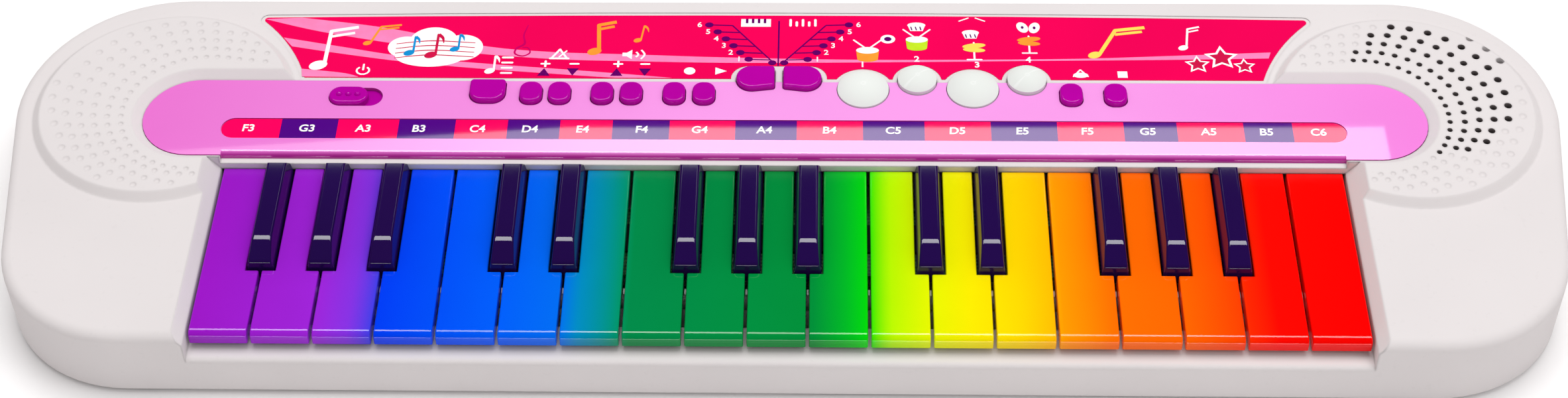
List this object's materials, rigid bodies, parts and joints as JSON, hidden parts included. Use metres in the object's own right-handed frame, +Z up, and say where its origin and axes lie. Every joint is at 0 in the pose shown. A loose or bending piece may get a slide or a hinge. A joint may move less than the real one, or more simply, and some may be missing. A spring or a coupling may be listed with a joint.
{
  "type": "toy electronic keyboard",
  "caption": "Long rounded toy keyboard with rainbow mini keys, dark sharps, a pink control panel with push buttons and drum pads, and a pierced speaker disc.",
  "frame": {"origin": "on the table, midway along the case, under the line where the keys meet the control panel", "axes": "+X along the keys from low to high notes, +Y away from the player, +Z up"},
  "size_m": [0.5318, 0.1605, 0.0316],
  "materials": {
    "case_white": "satin moulded plastic, fine moulding grain",
    "panel_pink": "glossy moulded plastic",
    "printed_film": "printed glossy film",
    "speaker_black": "matt black paper cone and painted basket",
    "board_green": "coated circuit board",
    "contact_rubber": "soft grey silicone",
    "contact_steel": "plated spring steel",
    "foot_rubber": "matt dark rubber",
    "screw_steel": "zinc plated steel",
    "button_purple": "glossy moulded plastic",
    "pad_silver": "pearl silver coated plastic",
    "key_violet": "glossy coated plastic, colour fading into the next key",
    "key_blue": "glossy coated plastic, colour fading into the next key",
    "key_green": "glossy coated plastic, colour fading into the next key",
    "key_lime": "glossy coated plastic, colour fading into the next key",
    "key_yellow": "glossy coated plastic, colour fading into the next key",
    "key_orange": "glossy coated plastic, colour fading into the next key",
    "key_red": "glossy coated plastic, colour fading into the next key",
    "key_dark": "glossy dark violet plastic"
  },
  "bodies": {
    "case": {"top_case": "case_white", "bottom_case": "case_white", "control_panel": "panel_pink", "printed_labels": "printed_film", "speaker": "speaker_black", "main_board": "board_green", "key_contact_board": "board_green", "key_contact_rubber": "contact_rubber", "battery_contacts": "contact_steel", "rubber_feet": "foot_rubber", "case_screws": "screw_steel"},
    "white_key_f3": {"white_key_f3": "key_violet"},
    "white_key_g3": {"white_key_g3": "key_violet"},
    "white_key_a3": {"white_key_a3": "key_violet"},
    "white_key_b3": {"white_key_b3": "key_blue"},
    "white_key_c4": {"white_key_c4": "key_blue"},
    "white_key_d4": {"white_key_d4": "key_blue"},
    "white_key_e4": {"white_key_e4": "key_blue"},
    "white_key_f4": {"white_key_f4": "key_green"},
    "white_key_g4": {"white_key_g4": "key_green"},
    "white_key_a4": {"white_key_a4": "key_green"},
    "white_key_b4": {"white_key_b4": "key_lime"},
    "white_key_c5": {"white_key_c5": "key_lime"},
    "white_key_d5": {"white_key_d5": "key_yellow"},
    "white_key_e5": {"white_key_e5": "key_yellow"},
    "white_key_f5": {"white_key_f5": "key_orange"},
    "white_key_g5": {"white_key_g5": "key_orange"},
    "white_key_a5": {"white_key_a5": "key_orange"},
    "white_key_b5": {"white_key_b5": "key_red"},
    "white_key_c6": {"white_key_c6": "key_red"},
    "black_key_fs3": {"black_key_fs3": "key_dark"},
    "black_key_gs3": {"black_key_gs3": "key_dark"},
    "black_key_as3": {"black_key_as3": "key_dark"},
    "black_key_cs4": {"black_key_cs4": "key_dark"},
    "black_key_ds4": {"black_key_ds4": "key_dark"},
    "black_key_fs4": {"black_key_fs4": "key_dark"},
    "black_key_gs4": {"black_key_gs4": "key_dark"},
    "black_key_as4": {"black_key_as4": "key_dark"},
    "black_key_cs5": {"black_key_cs5": "key_dark"},
    "black_key_ds5": {"black_key_ds5": "key_dark"},
    "black_key_fs5": {"black_key_fs5": "key_dark"},
    "black_key_gs5": {"black_key_gs5": "key_dark"},
    "black_key_as5": {"black_key_as5": "key_dark"},
    "tempo_up_button": {"tempo_up_button": "button_purple"},
    "tempo_down_button": {"tempo_down_button": "button_purple"},
    "volume_up_button": {"volume_up_button": "button_purple"},
    "volume_down_button": {"volume_down_button": "button_purple"},
    "record_button": {"record_button": "button_purple"},
    "play_button": {"play_button": "button_purple"},
    "demo_button": {"demo_button": "button_purple"},
    "drum_mode_button": {"drum_mode_button": "button_purple"},
    "stop_button": {"stop_button": "button_purple"},
    "instrument_select_button": {"instrument_select_button": "button_purple"},
    "rhythm_select_button": {"rhythm_select_button": "button_purple"},
    "drum_pad_1": {"drum_pad_1": "pad_silver"},
    "drum_pad_2": {"drum_pad_2": "pad_silver"},
    "drum_pad_3": {"drum_pad_3": "pad_silver"},
    "drum_pad_4": {"drum_pad_4": "pad_silver"},
    "power_switch_knob": {"power_switch_knob": "button_purple"},
    "battery_door": {"battery_door": "case_white"}
  },
  "joints": [
    {"name": "white_key_f3_hinge", "type": "hinge", "parent": "case", "child": "white_key_f3", "pos_m": [-0.18, 0.014, 0.0184], "axis": [1, 0, 0], "range_deg": [0, 1.4], "stiffness_Nm_per_rad": 0.4, "springref_deg": -4.3},
    {"name": "white_key_g3_hinge", "type": "hinge", "parent": "case", "child": "white_key_g3", "pos_m": [-0.16, 0.014, 0.0184], "axis": [1, 0, 0], "range_deg": [0, 1.4], "stiffness_Nm_per_rad": 0.4, "springref_deg": -4.3},
    {"name": "white_key_a3_hinge", "type": "hinge", "parent": "case", "child": "white_key_a3", "pos_m": [-0.14, 0.014, 0.0184], "axis": [1, 0, 0], "range_deg": [0, 1.4], "stiffness_Nm_per_rad": 0.4, "springref_deg": -4.3},
    {"name": "white_key_b3_hinge", "type": "hinge", "parent": "case", "child": "white_key_b3", "pos_m": [-0.12, 0.014, 0.0184], "axis": [1, 0, 0], "range_deg": [0, 1.4], "stiffness_Nm_per_rad": 0.4, "springref_deg": -4.3},
    {"name": "white_key_c4_hinge", "type": "hinge", "parent": "case", "child": "white_key_c4", "pos_m": [-0.1, 0.014, 0.0184], "axis": [1, 0, 0], "range_deg": [0, 1.4], "stiffness_Nm_per_rad": 0.4, "springref_deg": -4.3},
    {"name": "white_key_d4_hinge", "type": "hinge", "parent": "case", "child": "white_key_d4", "pos_m": [-0.08, 0.014, 0.0184], "axis": [1, 0, 0], "range_deg": [0, 1.4], "stiffness_Nm_per_rad": 0.4, "springref_deg": -4.3},
    {"name": "white_key_e4_hinge", "type": "hinge", "parent": "case", "child": "white_key_e4", "pos_m": [-0.06, 0.014, 0.0184], "axis": [1, 0, 0], "range_deg": [0, 1.4], "stiffness_Nm_per_rad": 0.4, "springref_deg": -4.3},
    {"name": "white_key_f4_hinge", "type": "hinge", "parent": "case", "child": "white_key_f4", "pos_m": [-0.04, 0.014, 0.0184], "axis": [1, 0, 0], "range_deg": [0, 1.4], "stiffness_Nm_per_rad": 0.4, "springref_deg": -4.3},
    {"name": "white_key_g4_hinge", "type": "hinge", "parent": "case", "child": "white_key_g4", "pos_m": [-0.02, 0.014, 0.0184], "axis": [1, 0, 0], "range_deg": [0, 1.4], "stiffness_Nm_per_rad": 0.4, "springref_deg": -4.3},
    {"name": "white_key_a4_hinge", "type": "hinge", "parent": "case", "child": "white_key_a4", "pos_m": [0, 0.014, 0.0184], "axis": [1, 0, 0], "range_deg": [0, 1.4], "stiffness_Nm_per_rad": 0.4, "springref_deg": -4.3},
    {"name": "white_key_b4_hinge", "type": "hinge", "parent": "case", "child": "white_key_b4", "pos_m": [0.02, 0.014, 0.0184], "axis": [1, 0, 0], "range_deg": [0, 1.4], "stiffness_Nm_per_rad": 0.4, "springref_deg": -4.3},
    {"name": "white_key_c5_hinge", "type": "hinge", "parent": "case", "child": "white_key_c5", "pos_m": [0.04, 0.014, 0.0184], "axis": [1, 0, 0], "range_deg": [0, 1.4], "stiffness_Nm_per_rad": 0.4, "springref_deg": -4.3},
    {"name": "white_key_d5_hinge", "type": "hinge", "parent": "case", "child": "white_key_d5", "pos_m": [0.06, 0.014, 0.0184], "axis": [1, 0, 0], "range_deg": [0, 1.4], "stiffness_Nm_per_rad": 0.4, "springref_deg": -4.3},
    {"name": "white_key_e5_hinge", "type": "hinge", "parent": "case", "child": "white_key_e5", "pos_m": [0.08, 0.014, 0.0184], "axis": [1, 0, 0], "range_deg": [0, 1.4], "stiffness_Nm_per_rad": 0.4, "springref_deg": -4.3},
    {"name": "white_key_f5_hinge", "type": "hinge", "parent": "case", "child": "white_key_f5", "pos_m": [0.1, 0.014, 0.0184], "axis": [1, 0, 0], "range_deg": [0, 1.4], "stiffness_Nm_per_rad": 0.4, "springref_deg": -4.3},
    {"name": "white_key_g5_hinge", "type": "hinge", "parent": "case", "child": "white_key_g5", "pos_m": [0.12, 0.014, 0.0184], "axis": [1, 0, 0], "range_deg": [0, 1.4], "stiffness_Nm_per_rad": 0.4, "springref_deg": -4.3},
    {"name": "white_key_a5_hinge", "type": "hinge", "parent": "case", "child": "white_key_a5", "pos_m": [0.14, 0.014, 0.0184], "axis": [1, 0, 0], "range_deg": [0, 1.4], "stiffness_Nm_per_rad": 0.4, "springref_deg": -4.3},
    {"name": "white_key_b5_hinge", "type": "hinge", "parent": "case", "child": "white_key_b5", "pos_m": [0.16, 0.014, 0.0184], "axis": [1, 0, 0], "range_deg": [0, 1.4], "stiffness_Nm_per_rad": 0.4, "springref_deg": -4.3},
    {"name": "white_key_c6_hinge", "type": "hinge", "parent": "case", "child": "white_key_c6", "pos_m": [0.18, 0.014, 0.0184], "axis": [1, 0, 0], "range_deg": [0, 1.4], "stiffness_Nm_per_rad": 0.4, "springref_deg": -4.3},
    {"name": "black_key_fs3_hinge", "type": "hinge", "parent": "case", "child": "black_key_fs3", "pos_m": [-0.17, 0.014, 0.0184], "axis": [1, 0, 0], "range_deg": [0, 2.2], "stiffness_Nm_per_rad": 0.4, "springref_deg": -4.3},
    {"name": "black_key_gs3_hinge", "type": "hinge", "parent": "case", "child": "black_key_gs3", "pos_m": [-0.15, 0.014, 0.0184], "axis": [1, 0, 0], "range_deg": [0, 2.2], "stiffness_Nm_per_rad": 0.4, "springref_deg": -4.3},
    {"name": "black_key_as3_hinge", "type": "hinge", "parent": "case", "child": "black_key_as3", "pos_m": [-0.13, 0.014, 0.0184], "axis": [1, 0, 0], "range_deg": [0, 2.2], "stiffness_Nm_per_rad": 0.4, "springref_deg": -4.3},
    {"name": "black_key_cs4_hinge", "type": "hinge", "parent": "case", "child": "black_key_cs4", "pos_m": [-0.09, 0.014, 0.0184], "axis": [1, 0, 0], "range_deg": [0, 2.2], "stiffness_Nm_per_rad": 0.4, "springref_deg": -4.3},
    {"name": "black_key_ds4_hinge", "type": "hinge", "parent": "case", "child": "black_key_ds4", "pos_m": [-0.07, 0.014, 0.0184], "axis": [1, 0, 0], "range_deg": [0, 2.2], "stiffness_Nm_per_rad": 0.4, "springref_deg": -4.3},
    {"name": "black_key_fs4_hinge", "type": "hinge", "parent": "case", "child": "black_key_fs4", "pos_m": [-0.03, 0.014, 0.0184], "axis": [1, 0, 0], "range_deg": [0, 2.2], "stiffness_Nm_per_rad": 0.4, "springref_deg": -4.3},
    {"name": "black_key_gs4_hinge", "type": "hinge", "parent": "case", "child": "black_key_gs4", "pos_m": [-0.01, 0.014, 0.0184], "axis": [1, 0, 0], "range_deg": [0, 2.2], "stiffness_Nm_per_rad": 0.4, "springref_deg": -4.3},
    {"name": "black_key_as4_hinge", "type": "hinge", "parent": "case", "child": "black_key_as4", "pos_m": [0.01, 0.014, 0.0184], "axis": [1, 0, 0], "range_deg": [0, 2.2], "stiffness_Nm_per_rad": 0.4, "springref_deg": -4.3},
    {"name": "black_key_cs5_hinge", "type": "hinge", "parent": "case", "child": "black_key_cs5", "pos_m": [0.05, 0.014, 0.0184], "axis": [1, 0, 0], "range_deg": [0, 2.2], "stiffness_Nm_per_rad": 0.4, "springref_deg": -4.3},
    {"name": "black_key_ds5_hinge", "type": "hinge", "parent": "case", "child": "black_key_ds5", "pos_m": [0.07, 0.014, 0.0184], "axis": [1, 0, 0], "range_deg": [0, 2.2], "stiffness_Nm_per_rad": 0.4, "springref_deg": -4.3},
    {"name": "black_key_fs5_hinge", "type": "hinge", "parent": "case", "child": "black_key_fs5", "pos_m": [0.11, 0.014, 0.0184], "axis": [1, 0, 0], "range_deg": [0, 2.2], "stiffness_Nm_per_rad": 0.4, "springref_deg": -4.3},
    {"name": "black_key_gs5_hinge", "type": "hinge", "parent": "case", "child": "black_key_gs5", "pos_m": [0.13, 0.014, 0.0184], "axis": [1, 0, 0], "range_deg": [0, 2.2], "stiffness_Nm_per_rad": 0.4, "springref_deg": -4.3},
    {"name": "black_key_as5_hinge", "type": "hinge", "parent": "case", "child": "black_key_as5", "pos_m": [0.15, 0.014, 0.0184], "axis": [1, 0, 0], "range_deg": [0, 2.2], "stiffness_Nm_per_rad": 0.4, "springref_deg": -4.3},
    {"name": "tempo_up_button_press", "type": "slide", "parent": "case", "child": "tempo_up_button", "axis": [0, 0, -1], "range_m": [0, 0.0012], "stiffness_N_per_m": 150, "springref_m": -0.004},
    {"name": "tempo_down_button_press", "type": "slide", "parent": "case", "child": "tempo_down_button", "axis": [0, 0, -1], "range_m": [0, 0.0012], "stiffness_N_per_m": 150, "springref_m": -0.004},
    {"name": "volume_up_button_press", "type": "slide", "parent": "case", "child": "volume_up_button", "axis": [0, 0, -1], "range_m": [0, 0.0012], "stiffness_N_per_m": 150, "springref_m": -0.004},
    {"name": "volume_down_button_press", "type": "slide", "parent": "case", "child": "volume_down_button", "axis": [0, 0, -1], "range_m": [0, 0.0012], "stiffness_N_per_m": 150, "springref_m": -0.004},
    {"name": "record_button_press", "type": "slide", "parent": "case", "child": "record_button", "axis": [0, 0, -1], "range_m": [0, 0.0012], "stiffness_N_per_m": 150, "springref_m": -0.004},
    {"name": "play_button_press", "type": "slide", "parent": "case", "child": "play_button", "axis": [0, 0, -1], "range_m": [0, 0.0012], "stiffness_N_per_m": 150, "springref_m": -0.004},
    {"name": "demo_button_press", "type": "slide", "parent": "case", "child": "demo_button", "axis": [0, 0, -1], "range_m": [0, 0.0012], "stiffness_N_per_m": 150, "springref_m": -0.004},
    {"name": "drum_mode_button_press", "type": "slide", "parent": "case", "child": "drum_mode_button", "axis": [0, 0, -1], "range_m": [0, 0.0012], "stiffness_N_per_m": 150, "springref_m": -0.004},
    {"name": "stop_button_press", "type": "slide", "parent": "case", "child": "stop_button", "axis": [0, 0, -1], "range_m": [0, 0.0012], "stiffness_N_per_m": 150, "springref_m": -0.004},
    {"name": "instrument_select_button_press", "type": "slide", "parent": "case", "child": "instrument_select_button", "axis": [0, 0, -1], "range_m": [0, 0.0012], "stiffness_N_per_m": 150, "springref_m": -0.004},
    {"name": "rhythm_select_button_press", "type": "slide", "parent": "case", "child": "rhythm_select_button", "axis": [0, 0, -1], "range_m": [0, 0.0012], "stiffness_N_per_m": 150, "springref_m": -0.004},
    {"name": "drum_pad_1_press", "type": "slide", "parent": "case", "child": "drum_pad_1", "axis": [0, 0, -1], "range_m": [0, 0.0012], "stiffness_N_per_m": 150, "springref_m": -0.004},
    {"name": "drum_pad_2_press", "type": "slide", "parent": "case", "child": "drum_pad_2", "axis": [0, 0, -1], "range_m": [0, 0.0012], "stiffness_N_per_m": 150, "springref_m": -0.004},
    {"name": "drum_pad_3_press", "type": "slide", "parent": "case", "child": "drum_pad_3", "axis": [0, 0, -1], "range_m": [0, 0.0012], "stiffness_N_per_m": 150, "springref_m": -0.004},
    {"name": "drum_pad_4_press", "type": "slide", "parent": "case", "child": "drum_pad_4", "axis": [0, 0, -1], "range_m": [0, 0.0012], "stiffness_N_per_m": 150, "springref_m": -0.004},
    {"name": "power_switch_slide", "type": "slide", "parent": "case", "child": "power_switch_knob", "axis": [1, 0, 0], "range_m": [0, 0.0048]},
    {"name": "battery_door_release", "type": "slide", "parent": "case", "child": "battery_door", "axis": [0, 0, -1], "range_m": [0, 0.02]}
  ]
}
